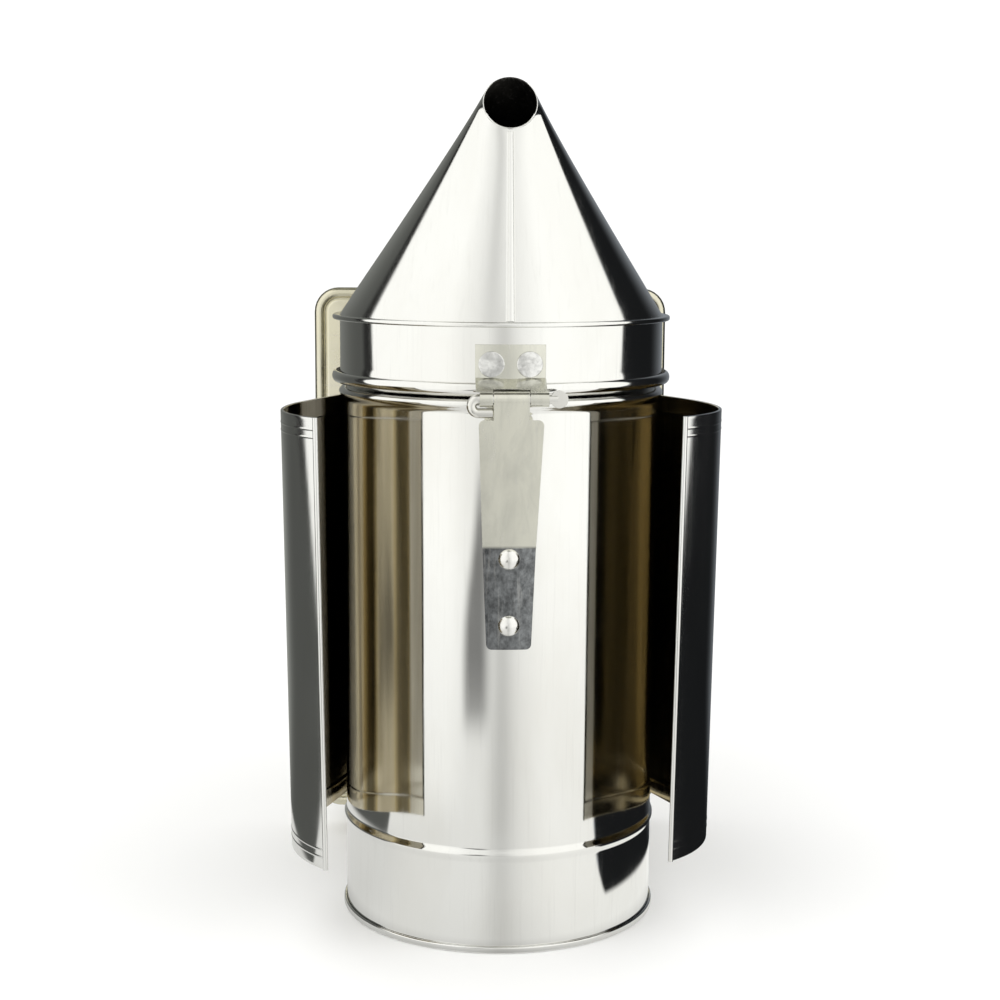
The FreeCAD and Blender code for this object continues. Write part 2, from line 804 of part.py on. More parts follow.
def make_flap():
    """Leather flap over the intake, on the inside of the rear board, hung from its upper edge."""
    radius = valve_radius + flap_overlap
    start = flap_start() + body_clearance
    disc = rod(radius, Vec(0, start, valve_z), Vec(0, start + flap_thickness, valve_z))
    hinge_z = flap_hinge_z()
    half = radius * flap_tail_share
    tail = box(Vec(-half, start, valve_z), Vec(half, start + flap_thickness, hinge_z - flap_gap))
    far_y = start + 2 * radius
    below = box(Vec(-2 * radius, 0, valve_z - 2 * radius), Vec(2 * radius, far_y, hinge_z - flap_gap))
    return joined([disc, tail]).common(below)


def flap_hinge_z():
    return valve_z + valve_radius + flap_overlap - 2 * flap_gap


def make_flap_strip():
    """Root of the flap, riveted to the board."""
    radius = valve_radius + flap_overlap
    start = flap_start()
    low = flap_hinge_z() + body_clearance
    half = radius * flap_tail_share
    return box(Vec(-half, start, low), Vec(half, start + flap_thickness, low + flap_strip_height))


def flap_rivet_places():
    return [Vec(side * flap_rivet_x, 0, flap_hinge_z() + flap_rivet_rise) for side in (-1, 1)]


def flap_rivet_holes():
    holes = []
    for place in flap_rivet_places():
        holes.append(through_tray(flap_rivet_radius, place.x, place.z))
    return holes


def make_flap_rivets():
    rivets = []
    for place in flap_rivet_places():
        outside = place + along_y * tray_front_y
        inside = place + along_y * (flap_start() + flap_thickness)
        head = along_y * flap_rivet_height
        shank = rod(flap_rivet_radius, outside - head, inside + head)
        outer = rod(flap_rivet_head, outside - head, outside)
        inner = rod(flap_rivet_head, inside, inside + head)
        rivets.append(joined([shank, outer, inner]))
    return Part.makeCompound(rivets)


# ---- grate ----

def make_grate_plate():
    radius = barrel_radius - sheet - grate_gap
    plate = Part.makeCylinder(radius, grate_sheet, Vec(0, 0, grate_z))
    holes = []
    rows = int(radius / grate_hole_pitch) + 1
    for row in range(-rows, rows + 1):
        for column in range(-rows, rows + 1):
            x = (column + 0.5 * (row % 2)) * grate_hole_pitch
            y = row * grate_hole_pitch * math.sqrt(0.75)
            if math.hypot(x, y) < radius - 3 * grate_hole_radius:
                holes.append(Part.makeCylinder(grate_hole_radius, grate_sheet, Vec(x, y, grate_z)))
    return plate.cut(holes)


def make_grate_legs():
    """Bent strips under the plate's edge, spread round so that none stands before the air inlet."""
    reach = barrel_radius - sheet - grate_gap - 1
    half = grate_leg_width / 2
    inside = reach - grate_sheet
    foot = base_thickness + body_clearance
    post = box(Vec(inside, -half, foot), Vec(reach, half, grate_z))
    shelf = box(Vec(reach - grate_leg_shelf, -half, grate_z - grate_sheet), Vec(reach, half, grate_z))
    limit = Part.makeCylinder(reach + sheet, grate_z)
    leg = joined([post, shelf]).common(limit)
    return Part.makeCompound(spread(leg, grate_leg_places))


def build():
    os.makedirs("parts", exist_ok=True)
    front = -math.pi / 2
    back = math.pi / 2
    shell_inner = barrel_radius - sheet
    strap_outer = barrel_radius + strap_sheet
    shield_outer = shield_path_radius + sheet / 2
    bracket_outer = shield_outer + bracket_sheet

    # barrel and hinge
    strap_holes = [rivet_hole(front, z) for z in strap_rivet_z]
    bracket_holes = [rivet_hole(back, z) for z in bracket_rivet_heights()]
    inlet_hole = rod(inlet_radius, Vec(0, inlet_start_y, inlet_z), Vec(0, inlet_end_y, inlet_z))
    shell = make_barrel_shell().cut(strap_holes + bracket_holes + [inlet_hole])
    strap = make_hinge_strap().cut(strap_holes)
    save(shell, "barrel_shell")
    save(make_base_plate(), "base_plate")
    save(make_air_inlet(), "air_inlet_tube")
    save(strap, "hinge_strap")
    save(make_hinge_pin(), "hinge_pin")
    strap_rivets = []
    for z in strap_rivet_z:
        strap_rivets.append(rivet(front, z, shell_inner, strap_outer, domed_head, barrel_tail_height))
    save(Part.makeCompound(strap_rivets), "strap_rivets")

    # heat shield and brackets
    shield = make_heat_shield().cut(bracket_holes)
    save(shield, "heat_shield")
    gap_ring = ring(barrel_radius, shield_path_radius - sheet / 2, 0, neck_top)
    spacers = []
    for z in bracket_rivet_heights():
        start = Vec(0, barrel_radius - spacer_wall, z)
        spacer = tube(tail_radius + spacer_wall, rivet_shank, start, Vec(0, shield_outer, z))
        spacers.append(spacer.common(gap_ring))
    save(Part.makeCompound(spacers), "shield_spacers")
    brackets = [make_bracket(z).cut(bracket_holes) for z in bracket_z]
    bolt_holes = [through_tray(bolt_radius + bolt_clearance, x, z) for x, z in bolt_places()]
    brackets = [bracket.cut(bolt_holes) for bracket in brackets]
    save(brackets[0], "lower_bracket")
    save(brackets[1], "upper_bracket")
    rivets = []
    for z in bracket_rivet_heights():
        rivets.append(rivet(back, z, shell_inner, bracket_outer, domed_head, barrel_tail_height))
    save(Part.makeCompound(rivets), "bracket_rivets")
    save(Part.makeCompound([make_bolt(x, z) for x, z in bolt_places()]), "bracket_bolts")
    save(Part.makeCompound([make_nut(x, z) for x, z in bolt_places()]), "bracket_nuts")

    # lid
    leaf_turn = math.asin(leaf_rivet_x / collar_outer)
    leaf_angles = [front - leaf_turn, front + leaf_turn]
    tab_turn = math.asin(tab_rivet_x / collar_outer)
    tab_angles = [back - tab_turn, back + tab_turn]
    lid_outer = collar_outer + strap_sheet
    leaf_holes = [rivet_hole(angle, leaf_rivet_z) for angle in leaf_angles]
    tab_holes = [rivet_hole(angle, tab_rivet_z) for angle in tab_angles]
    collar = make_lid_collar().cut(leaf_holes + tab_holes)
    leaf = make_lid_leaf().cut(leaf_holes)
    tab = make_lift_tab().cut(tab_holes)
    save(collar, "lid_collar")
    save(edge_torus(edge_roll_radius - sheet), "lid_edge_wire")
    save(make_lid_cone(), "lid_cone")
    save(leaf, "lid_hinge_leaf")
    leaf_rivets = []
    for angle in leaf_angles:
        leaf_rivets.append(rivet(angle, leaf_rivet_z, collar_inner, lid_outer, flat_head, lid_tail_height))
    save(Part.makeCompound(leaf_rivets), "lid_leaf_rivets")
    save(tab, "lid_lift_tab")
    tab_rivets = []
    for angle in tab_angles:
        tab_rivets.append(rivet(angle, tab_rivet_z, collar_inner, lid_outer, domed_head, lid_tail_height))
    save(Part.makeCompound(tab_rivets), "lift_tab_rivets")

    # grate
    save(make_grate_plate(), "grate_plate")
    save(make_grate_legs(), "grate_legs")

    # bellows, front half
    outlet = through_tray(outlet_radius, 0, inlet_z)
    front_holes = bolt_holes + [outlet]
    nail_holes = tack_holes()
    front_tray = make_tray(front_holes + nail_holes)
    front_board = make_board(front_holes + nail_holes)
    gusset = make_leather().cut(nail_holes)
    save(front_tray, "bellows_front_tray")
    save(front_board, "bellows_front_board")
    save(make_tacks([front_tray]), "front_tray_tacks")
    save(gusset, "bellows_leather")
    save(seat_cup(), "spring_seat_front")
    save(make_spring(), "bellows_spring")

    # bellows, rear half
    rear_holes = [valve_hole()] + nail_holes + flap_rivet_holes()
    rear_tray = make_tray(rear_holes)
    save(mirrored_back(rear_tray), "bellows_rear_tray")
    save(mirrored_back(make_board(rear_holes)), "bellows_rear_board")
    save(mirrored_back(make_tacks([rear_tray])), "rear_tray_tacks")
    save(mirrored_back(seat_cup()), "spring_seat_rear")
    save(mirrored_back(valve_ring()), "valve_ring")
    save(mirrored_back(make_flap()), "valve_flap")
    save(mirrored_back(make_flap_strip().cut(flap_rivet_holes())), "valve_flap_strip")
    save(mirrored_back(make_flap_rivets()), "valve_rivets")


build()
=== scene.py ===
import bmesh
import bpy
import math
from mathutils import Matrix, Quaternion, Vector


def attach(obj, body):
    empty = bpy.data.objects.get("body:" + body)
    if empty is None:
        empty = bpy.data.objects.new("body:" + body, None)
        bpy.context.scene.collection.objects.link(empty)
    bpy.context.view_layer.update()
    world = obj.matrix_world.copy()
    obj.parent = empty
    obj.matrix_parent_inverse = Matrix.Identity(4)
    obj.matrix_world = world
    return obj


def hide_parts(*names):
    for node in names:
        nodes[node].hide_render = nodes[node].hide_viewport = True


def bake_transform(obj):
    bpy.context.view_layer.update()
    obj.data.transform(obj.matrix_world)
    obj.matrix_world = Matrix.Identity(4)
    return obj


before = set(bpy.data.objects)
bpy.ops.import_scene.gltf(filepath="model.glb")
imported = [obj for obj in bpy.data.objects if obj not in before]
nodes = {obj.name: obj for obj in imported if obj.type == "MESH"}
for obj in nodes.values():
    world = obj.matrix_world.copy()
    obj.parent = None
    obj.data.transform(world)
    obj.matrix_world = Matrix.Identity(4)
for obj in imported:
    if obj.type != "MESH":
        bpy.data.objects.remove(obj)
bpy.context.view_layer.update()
print("frame loaded:", len(nodes), "nodes")


def addNode(tree, kind, settings=None, values=None):
    made = tree.nodes.new("ShaderNode" + kind)
    for key, value in (settings or {}).items():
        setattr(made, key, value)
    for key, value in (values or {}).items():
        made.inputs[key].default_value = value
    return made


# Object coordinates, scaled apart along x, y and z
def stretched(tree, scale):
    place = addNode(tree, "TexCoord")
    mapping = addNode(tree, "Mapping", None, {"Scale": scale})
    tree.links.new(place.outputs["Object"], mapping.inputs["Vector"])
    return mapping.outputs["Vector"]


def grain(tree, scale, detail=4.0, rough=0.55, twist=0.0):
    values = {"Scale": 1.0, "Detail": detail, "Roughness": rough, "Distortion": twist}
    made = addNode(tree, "TexNoise", None, values)
    tree.links.new(stretched(tree, scale), made.inputs["Vector"])
    return made.outputs["Fac"]


def ranged(tree, value, low, high, outLow, outHigh):
    values = {"From Min": low, "From Max": high, "To Min": outLow, "To Max": outHigh}
    made = addNode(tree, "MapRange", None, values)
    tree.links.new(value, made.inputs["Value"])
    return made.outputs["Result"]


def mixedColour(tree, share, first, second):
    made = addNode(tree, "Mix", {"data_type": "RGBA"})
    tree.links.new(share, made.inputs["Factor"])
    for socket, value in ((made.inputs[6], first), (made.inputs[7], second)):
        if isinstance(value, tuple):
            socket.default_value = (*value, 1.0)
        else:
            tree.links.new(value, socket)
    return made.outputs[2]


def bumped(tree, height, distance, under=None):
    made = addNode(tree, "Bump", None, {"Strength": 1.0, "Distance": distance})
    tree.links.new(height, made.inputs["Height"])
    if under is not None:
        tree.links.new(under, made.inputs["Normal"])
    return made.outputs["Normal"]


def startMaterial(name, metallic, roughness, colour):
    made = bpy.data.materials.new(name)
    made.use_nodes = True
    tree = made.node_tree
    shader = tree.nodes["Principled BSDF"]
    shader.inputs["Metallic"].default_value = metallic
    shader.inputs["Roughness"].default_value = roughness
    shader.inputs["Base Color"].default_value = (*colour, 1.0)
    return made, tree, shader


# Sheet or wire metal: stains in the colour, fine scratches, cloudy gloss, and slow waves in the sheet
def metal(name, look):
    made, tree, shader = startMaterial(name, 1.0, look["rough"], look["colour"])
    stains = ranged(tree, grain(tree, look["stainScale"], 5.0, 0.6, 0.4), 0.42, 0.72, 0.0, look["stainShare"])
    colour = look["colour"]
    if "bands" in look:
        # The bands paint light and shade: a painted highlight strip at the shield's front edge and painted shade
        # bands inside, made less metallic where light
        tone = addNode(tree, "Attribute", {"attribute_name": look["bands"]})
        ramp = addNode(tree, "ValToRGB")
        ramp.color_ramp.elements[0].color = (*look["darkBand"], 1)
        ramp.color_ramp.elements[1].color = (*look["lightBand"], 1)
        ramp.color_ramp.elements.new(0.5).color = (*look["middleBand"], 1)
        tree.links.new(tone.outputs["Fac"], ramp.inputs["Fac"])
        colour = ramp.outputs["Color"]
        tree.links.new(ranged(tree, tone.outputs["Fac"], 0.55, 0.95, 1.0, 0.4), shader.inputs["Metallic"])
    colour = mixedColour(tree, stains, colour, look["stain"])
    # Below a given height the colour turns to a mottled dull grey: painted shade on the strap below its bend
    if "foot" in look:
        split = addNode(tree, "SeparateXYZ")
        tree.links.new(stretched(tree, (1, 1, 1)), split.inputs["Vector"])
        low, high, shadeTone = look["foot"]
        mottled = ranged(tree, grain(tree, (520, 520, 380), 6.0, 0.72), 0.36, 0.68, 0.0, 1.0)
        darker, lighter = [tuple(part * share for part in shadeTone) for share in (0.45, 1.35)]
        mottled = mixedColour(tree, mottled, darker, lighter)
        colour = mixedColour(tree, ranged(tree, split.outputs["Z"], low, high, 0.0, 1.0), mottled, colour)
    scratches = grain(tree, look["scratchScale"], 2.0, 0.7)
    lines = ranged(tree, scratches, 0.56, 0.74, 0.0, 1.0)
    share = ranged(tree, lines, 0.0, 1.0, 0.0, look["scratchShare"])
    colour = mixedColour(tree, share, colour, look["scratchColour"])
    tree.links.new(colour, shader.inputs["Base Color"])
    cloud = grain(tree, look["cloudScale"], 6.0, 0.62, 0.3)
    low, high = look["rough"] * 0.75, look["rough"] + look["roughSpread"]
    gloss = ranged(tree, cloud, 0.35, 0.75, low, high)
    both = addNode(tree, "Math", {"operation": "MULTIPLY_ADD"}, {1: look["scratchRough"]})
    tree.links.new(lines, both.inputs[0])
    tree.links.new(gloss, both.inputs[2])
    tree.links.new(both.outputs[0], shader.inputs["Roughness"])
    edge = addNode(tree, "Bevel", {"samples": 4}, {"Radius": look["edge"]})
    normal = bumped(tree, grain(tree, look["waveScale"], 2.0, 0.5), look["wave"], edge.outputs["Normal"])
    normal = bumped(tree, scratches, look["scratchDepth"], normal)
    tree.links.new(normal, shader.inputs["Normal"])
    return made


def metalLook(**changes):
    look = {
        "colour": (0.86, 0.86, 0.845), "rough": 0.065, "roughSpread": 0.05,
        "stain": (0.70, 0.68, 0.63), "stainScale": (22, 22, 12), "stainShare": 0.35,
        "scratchScale": (900, 900, 26), "scratchShare": 0.10, "scratchColour": (0.60, 0.59, 0.57),
        "scratchRough": 0.05, "scratchDepth": 0.0000015,
        "cloudScale": (60, 60, 18), "waveScale": (26, 26, 9), "wave": 0.00009, "edge": 0.00015,
    }
    look.update(changes)
    return look


polishedSteel = metal("polishedSteel", metalLook())
coneSteel = metal("coneSteel", metalLook(
    scratchScale=(500, 500, 40), waveScale=(34, 34, 14), wave=0.00007, rough=0.09))
shieldSteel = metal("shieldSteel", metalLook(
    colour=(0.80, 0.80, 0.79), rough=0.10, roughSpread=0.07, scratchScale=(700, 700, 14), wave=0.00006))
# Inside of the heat shield: bronze heat tint with painted highlight and shade bands
bronzeTintAndShadeSteel = metal("bronzeTintAndShadeSteel", metalLook(
    colour=(0.50, 0.41, 0.24), rough=0.10, roughSpread=0.10, stain=(0.16, 0.14, 0.09), stainShare=0.5,
    stainScale=(90, 90, 3), bands="tone",
    darkBand=(0.018, 0.016, 0.011), middleBand=(0.50, 0.405, 0.225), lightBand=(1.0, 0.96, 0.84),
    scratchScale=(420, 420, 8), wave=0.00012, waveScale=(60, 60, 6)))
sootySteel = metal("sootySteel", metalLook(
    colour=(0.05, 0.047, 0.043), rough=0.55, roughSpread=0.3, stain=(0.012, 0.011, 0.010), stainShare=0.9,
    stainScale=(40, 40, 40)))
hingeSteel = metal("hingeSteel", metalLook(
    colour=(0.74, 0.735, 0.66), rough=0.15, roughSpread=0.10, stain=(0.50, 0.50, 0.46), stainShare=0.5,
    stainScale=(130, 130, 40), scratchScale=(900, 900, 60), scratchShare=0.25, scratchRough=0.12,
    cloudScale=(160, 160, 30), waveScale=(90, 90, 30), wave=0.00007, edge=0.00025))
# The strap is painted darker below its bend: painted shade
strapSteel = metal("strapSteel", metalLook(
    colour=(0.80, 0.79, 0.70), rough=0.15, roughSpread=0.10, stain=(0.50, 0.50, 0.46), stainShare=0.5,
    stainScale=(130, 130, 40), scratchScale=(900, 900, 60), scratchShare=0.30, scratchRough=0.12,
    cloudScale=(160, 160, 30), waveScale=(90, 90, 30), wave=0.00007, edge=0.00025,
    foot=(0.1262, 0.1272, (0.215, 0.224, 0.233))))
wireSteel = metal("wireSteel", metalLook(
    colour=(0.78, 0.775, 0.75), rough=0.14, scratchScale=(120, 900, 900), waveScale=(300, 300, 300), wave=0.00002,
    edge=0.0003))
rivetSteel = metal("rivetSteel", metalLook(
    colour=(0.84, 0.835, 0.82), rough=0.13, scratchScale=(700, 700, 700), stainScale=(400, 400, 400),
    waveScale=(420, 420, 420), wave=0.00006, edge=0.0003))
leafRivetSteel = metal("leafRivetSteel", metalLook(
    colour=(0.84, 0.84, 0.83), rough=0.11, roughSpread=0.16, scratchScale=(600, 90, 600), scratchShare=0.3,
    stain=(0.24, 0.24, 0.235), stainScale=(230, 230, 230), stainShare=0.8,
    waveScale=(240, 240, 240), wave=0.00012, edge=0.0002))
plainSteel = metal("plainSteel", metalLook(
    colour=(0.62, 0.62, 0.61), rough=0.28, roughSpread=0.15, stainScale=(90, 90, 90), stain=(0.36, 0.35, 0.33),
    stainShare=0.6, scratchScale=(500, 60, 500), edge=0.0003))
zincSteel = metal("zincSteel", metalLook(
    colour=(0.66, 0.68, 0.69), rough=0.24, roughSpread=0.18, stainScale=(500, 500, 500), stain=(0.44, 0.45, 0.46),
    stainShare=0.8, scratchScale=(900, 900, 900), edge=0.0003))
traySteel = metal("traySteel", metalLook(
    colour=(0.70, 0.665, 0.52), rough=0.22, roughSpread=0.10, stainScale=(50, 50, 50), scratchScale=(40, 600, 600),
    waveScale=(40, 40, 40), wave=0.00012, edge=0.0003))
springSteel = metal("springSteel", metalLook(
    colour=(0.38, 0.38, 0.39), rough=0.30, scratchScale=(600, 600, 600), stain=(0.18, 0.13, 0.09), stainShare=0.5,
    stainScale=(300, 300, 300)))


# Tanned leather: pebbled grain in two sizes, darker pores, worn lighter patches
def makeLeather():
    made, tree, shader = startMaterial("bellowsLeather", 0.0, 0.55, (0.09, 0.045, 0.022))
    pebbles = addNode(tree, "TexVoronoi", {"feature": "DISTANCE_TO_EDGE"}, {"Scale": 1.0, "Randomness": 0.9})
    tree.links.new(stretched(tree, (900, 900, 900)), pebbles.inputs["Vector"])
    pores = ranged(tree, pebbles.outputs["Distance"], 0.0, 0.12, 0.0, 1.0)
    mottled = ranged(tree, grain(tree, (55, 55, 55), 6.0, 0.65, 0.6), 0.40, 0.72, 0.0, 1.0)
    hide = mixedColour(tree, mottled, (0.075, 0.036, 0.018), (0.17, 0.090, 0.045))
    hide = mixedColour(tree, pores, (0.022, 0.011, 0.006), hide)
    tree.links.new(hide, shader.inputs["Base Color"])
    tree.links.new(ranged(tree, mottled, 0.0, 1.0, 0.62, 0.40), shader.inputs["Roughness"])
    creases = grain(tree, (220, 220, 220), 5.0, 0.7, 1.2)
    normal = bumped(tree, pores, 0.00012)
    normal = bumped(tree, creases, 0.00045, normal)
    tree.links.new(normal, shader.inputs["Normal"])
    return made


# Plywood: pale plies seen as layers through the thickness, and long figure along the board
def makeWood():
    made, tree, shader = startMaterial("boardWood", 0.0, 0.6, (0.50, 0.34, 0.19))
    figure = addNode(tree, "TexWave", {"wave_type": "BANDS", "bands_direction": "X"},
                     {"Scale": 1.0, "Distortion": 7.0, "Detail": 4.0, "Detail Scale": 1.6})
    tree.links.new(stretched(tree, (55, 10, 5)), figure.inputs["Vector"])
    fibres = grain(tree, (900, 400, 22), 4.0, 0.7)
    plies = addNode(tree, "TexWave", {"wave_type": "BANDS", "bands_direction": "Y"},
                    {"Scale": 1.0, "Distortion": 0.6, "Detail": 2.0})
    tree.links.new(stretched(tree, (4, 200, 4)), plies.inputs["Vector"])
    wood = mixedColour(tree, figure.outputs["Fac"], (0.56, 0.38, 0.21), (0.38, 0.23, 0.11))
    wood = mixedColour(tree, ranged(tree, fibres, 0.35, 0.75, 0.0, 0.6), wood, (0.28, 0.17, 0.085))
    wood = mixedColour(tree, ranged(tree, plies.outputs["Fac"], 0.3, 0.8, 0.0, 0.35), wood, (0.33, 0.20, 0.10))
    tree.links.new(wood, shader.inputs["Base Color"])
    tree.links.new(ranged(tree, fibres, 0.3, 0.8, 0.48, 0.74), shader.inputs["Roughness"])
    tree.links.new(bumped(tree, fibres, 0.00012), shader.inputs["Normal"])
    return made


bellowsLeather = makeLeather()
boardWood = makeWood()
print("materials ready")


# Points of an arc as (across, up), its angles in degrees
def arcPoints(centre, radius, start, end, count):
    turns = [math.radians(start + (end - start) * i / count) for i in range(count + 1)]
    return [(centre[0] + radius * math.cos(a), centre[1] + radius * math.sin(a)) for a in turns]


# Spins a closed outline of (radius, height) about Z
def turnedPiece(bm, profile, steps=224):
    verts = [bm.verts.new((radius, 0, height)) for radius, height in profile]
    edges = [bm.edges.new(pair) for pair in zip(verts, verts[1:] + verts[:1])]
    bmesh.ops.spin(bm, geom=verts + edges, cent=(0, 0, 0), axis=(0, 0, 1), angle=2 * math.pi,
                   steps=steps, use_merge=True)


def loopOf(bm, points):
    verts = [bm.verts.new(p) for p in points]
    return [bm.edges.new(pair) for pair in zip(verts, verts[1:] + verts[:1])]


# Skins a row of closed loops, with an n-gon over each end
def loft(bm, loops, capped=True):
    rings = [loopOf(bm, points) for points in loops]
    for low, high in zip(rings, rings[1:]):
        bmesh.ops.bridge_loops(bm, edges=low + high)
    if capped:
        for ring in (rings[0], rings[-1]):
            bmesh.ops.contextual_create(bm, geom=ring)
    return rings


# A round bar along points
def sweptRod(bm, points, radius, sides=12):
    loops = []
    for i, here in enumerate(points):
        before = points[i - 1] if i else here
        after = points[i + 1] if i + 1 < len(points) else here
        along = (after - before).normalized()
        side = along.orthogonal() if not loops else (lastSide - along * lastSide.dot(along))
        side.normalize()
        lastSide = side
        other = along.cross(side)
        turns = [2 * math.pi * k / sides for k in range(sides)]
        loops.append([here + (side * math.cos(a) + other * math.sin(a)) * radius for a in turns])
    loft(bm, loops)


# Takes a round hole out of a finished piece, between two points in millimetres
def cutHole(piece, start, end, radius):
    bm = bmesh.new()
    run = Vector(end) - Vector(start)
    bmesh.ops.create_cone(bm, cap_ends=True, segments=96, radius1=radius, radius2=radius, depth=run.length)
    turn = run.to_track_quat("Z", "Y").to_matrix().to_4x4()
    bmesh.ops.transform(bm, matrix=turn, verts=bm.verts)
    bmesh.ops.translate(bm, vec=(Vector(start) + Vector(end)) / 2, verts=bm.verts)
    bmesh.ops.scale(bm, vec=(0.001,) * 3, verts=bm.verts)
    mesh = bpy.data.meshes.new("cutter")
    bm.to_mesh(mesh)
    bm.free()
    cutter = bpy.data.objects.new("cutter", mesh)
    bpy.context.scene.collection.objects.link(cutter)
    work = piece.modifiers.new("hole", "BOOLEAN")
    work.operation = "DIFFERENCE"
    work.solver = "EXACT"
    work.object = cutter
    bpy.context.view_layer.update()
    shaped = bpy.data.meshes.new_from_object(piece.evaluated_get(bpy.context.evaluated_depsgraph_get()))
    piece.modifiers.clear()
    piece.data = shaped
    bpy.data.objects.remove(cutter)


# Turns a bmesh into a piece that rides on a body. pick(face) gives the face's material number
def finishPiece(bm, name, materials, body, stoodFor, sharp=32, pick=None):
    bmesh.ops.remove_doubles(bm, verts=bm.verts, dist=0.0005)
    bmesh.ops.recalc_face_normals(bm, faces=bm.faces)
    for face in bm.faces:
        face.smooth = True
        face.material_index = pick(face) if pick else 0
    bmesh.ops.scale(bm, vec=(0.001,) * 3, verts=bm.verts)
    mesh = bpy.data.meshes.new(name)
    bm.to_mesh(mesh)
    bm.free()
    for material in materials:
        mesh.materials.append(material)
    mesh.set_sharp_from_angle(angle=math.radians(sharp))
    piece = bpy.data.objects.new(name, mesh)
    bpy.context.scene.collection.objects.link(piece)
    if body:
        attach(piece, body)
    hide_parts(*stoodFor)
    return piece


# Whether a face looks towards the barrel's axis
def facesAxis(face):
    middle = face.calc_center_median()
    return face.normal.x * middle.x + face.normal.y * middle.y < -0.02


def bulge(height, middle, width, depth):
    away = abs(height - middle) / (width / 2)
    return depth * (0.5 + 0.5 * math.cos(math.pi * away)) if away < 1 else 0.0


# Straight-line reading of a table of (place, value)
def between(value, places):
    for (low, first), (high, second) in zip(places, places[1:]):
        if value <= high:
            return first + (second - first) * max(0.0, (value - low) / (high - low))
    return places[-1][1]


def spaced(start, end, step):
    count = max(1, round(abs(end - start) / step))
    return [start + (end - start) * i / count for i in range(count + 1)]


barrel = {
    "radius": 50.0, "sheet": 0.5, "low": 0.6, "top": 180.0,
    "beads": ((31.0, 4.8, 0.75), (169.3, 6.0, 1.7)),     # middle, height, depth
    "inlet": ((0, 44, 22), (0, 56, 22), 7.0),            # from, to, radius
    "footRoll": 0.55, "footRollAt": 0.45,
}


def barrelOuter(height):
    return barrel["radius"] + sum(bulge(height, *bead) for bead in barrel["beads"])


def makeBarrel():
    halfSheet = barrel["sheet"] / 2
    heights = spaced(barrel["low"], 28, 4) + spaced(28.4, 33.6, 0.25) + spaced(35, 165, 5)
    heights += spaced(166, 172.8, 0.25) + spaced(174, barrel["top"] - halfSheet, 1.5)
    outer = [(barrelOuter(z), z) for z in heights]
    rim = arcPoints((barrel["radius"] - halfSheet, barrel["top"] - halfSheet), halfSheet, 30, 150, 4)
    inner = [(barrelOuter(z) - barrel["sheet"], z) for z in reversed(heights)]
    bm = bmesh.new()
    turnedPiece(bm, outer + rim + inner)
    piece = finishPiece(bm, "barrelWall", [polishedSteel, sootySteel], "barrel", ["barrel_shell"],
                        40, lambda face: 1 if facesAxis(face) else 0)
    cutHole(piece, *barrel["inlet"])


def makeBase():
    radius, roll, at = barrel["radius"], barrel["footRoll"], barrel["radius"] + barrel["footRollAt"]
    lip = [(radius + 0.5, 0.0)] + arcPoints((at, roll), roll, -80, 0, 6)
    lip += arcPoints((at, 3 * roll), roll, 0, 120, 8) + [(radius + 0.10, 1.75), (radius + 0.06, 1.0)]
    profile = [(0.0, 0.0)] + [(r, 0.0) for r in spaced(8, radius - 2, 6)] + lip
    profile += [(radius, barrel["low"])] + [(r, barrel["low"]) for r in spaced(radius - 2, 8, 6)]
    profile += [(0.0, barrel["low"])]
    bm = bmesh.new()
    turnedPiece(bm, profile)
    finishPiece(bm, "footPlate", [polishedSteel], "barrel", ["base_plate"], 40)


makeBarrel()
makeBase()
print("barrel ready")


lid = {
    "inner": 50.8, "outer": 51.3, "seam": 193.0, "rollZ": 174.1, "roll": 1.3, "rollStretch": 1.36,
    "seamReach": 2.3, "mouthRadius": 8.1, "mouthY": -42.0, "mouthZ": 256.8, "tilt": math.radians(20),
    "fold": ((-1.5, -0.15), (-1.3, 0.12), (-0.95, 0.2), (-0.8, 0.6), (-0.5, 0.9), (0.35, 0.95), (0.6, 0.85),
             (1.15, 0.25), (1.35, -0.15)),    # the seam's outline, across and out
}
lid["coneStart"] = lid["seam"] + barrel["sheet"]


def makeCollar():
    rollAt = (lid["outer"] + lid["roll"] - 0.1, lid["rollZ"])
    inner = [(lid["inner"], z) for z in spaced(lid["seam"], 175.0, 3)]
    around = arcPoints(rollAt, lid["roll"], 195, 500, 40)
    turn = [(r, lid["rollZ"] + (z - lid["rollZ"]) * lid["rollStretch"]) for r, z in around]
    outer = [(lid["outer"], z) for z in spaced(175.6, 191.9, 2.5)]
    flange = arcPoints((lid["outer"] + 0.5, lid["seam"] - 1), 0.5, 180, 90, 5)
    flange += [(53.0, lid["seam"] - 0.5), (53.1, lid["seam"] - 0.3), (53.0, lid["seam"])]
    bm = bmesh.new()
    turnedPiece(bm, inner + turn + outer + flange)
    finishPiece(bm, "lidCollar", [polishedSteel, sootySteel], "lid", ["lid_collar"], 50,
                lambda face: 1 if facesAxis(face) and face.calc_center_median().z > lid["rollZ"] + 0.7 else 0)


def mouthPoint(turn, radius, out=0.0):
    tilt = lid["tilt"]
    rise = Vector((0, math.sin(tilt), math.cos(tilt)))
    axis = Vector((0, -math.cos(tilt), math.sin(tilt)))
    centre = Vector((0, lid["mouthY"], lid["mouthZ"])) + axis * out
    return centre + Vector((1, 0, 0)) * (radius * math.cos(turn)) + rise * (radius * math.sin(turn))


# A point of the cone's skin, share going from the collar to the mouth
def conePoint(turn, share, inside):
    base = lid["inner"] if inside else lid["outer"]
    mouth = lid["mouthRadius"] - (barrel["sheet"] if inside else 0)
    low = Vector((base * math.cos(turn), base * math.sin(turn), lid["coneStart"]))
    return low.lerp(mouthPoint(turn, mouth), share)


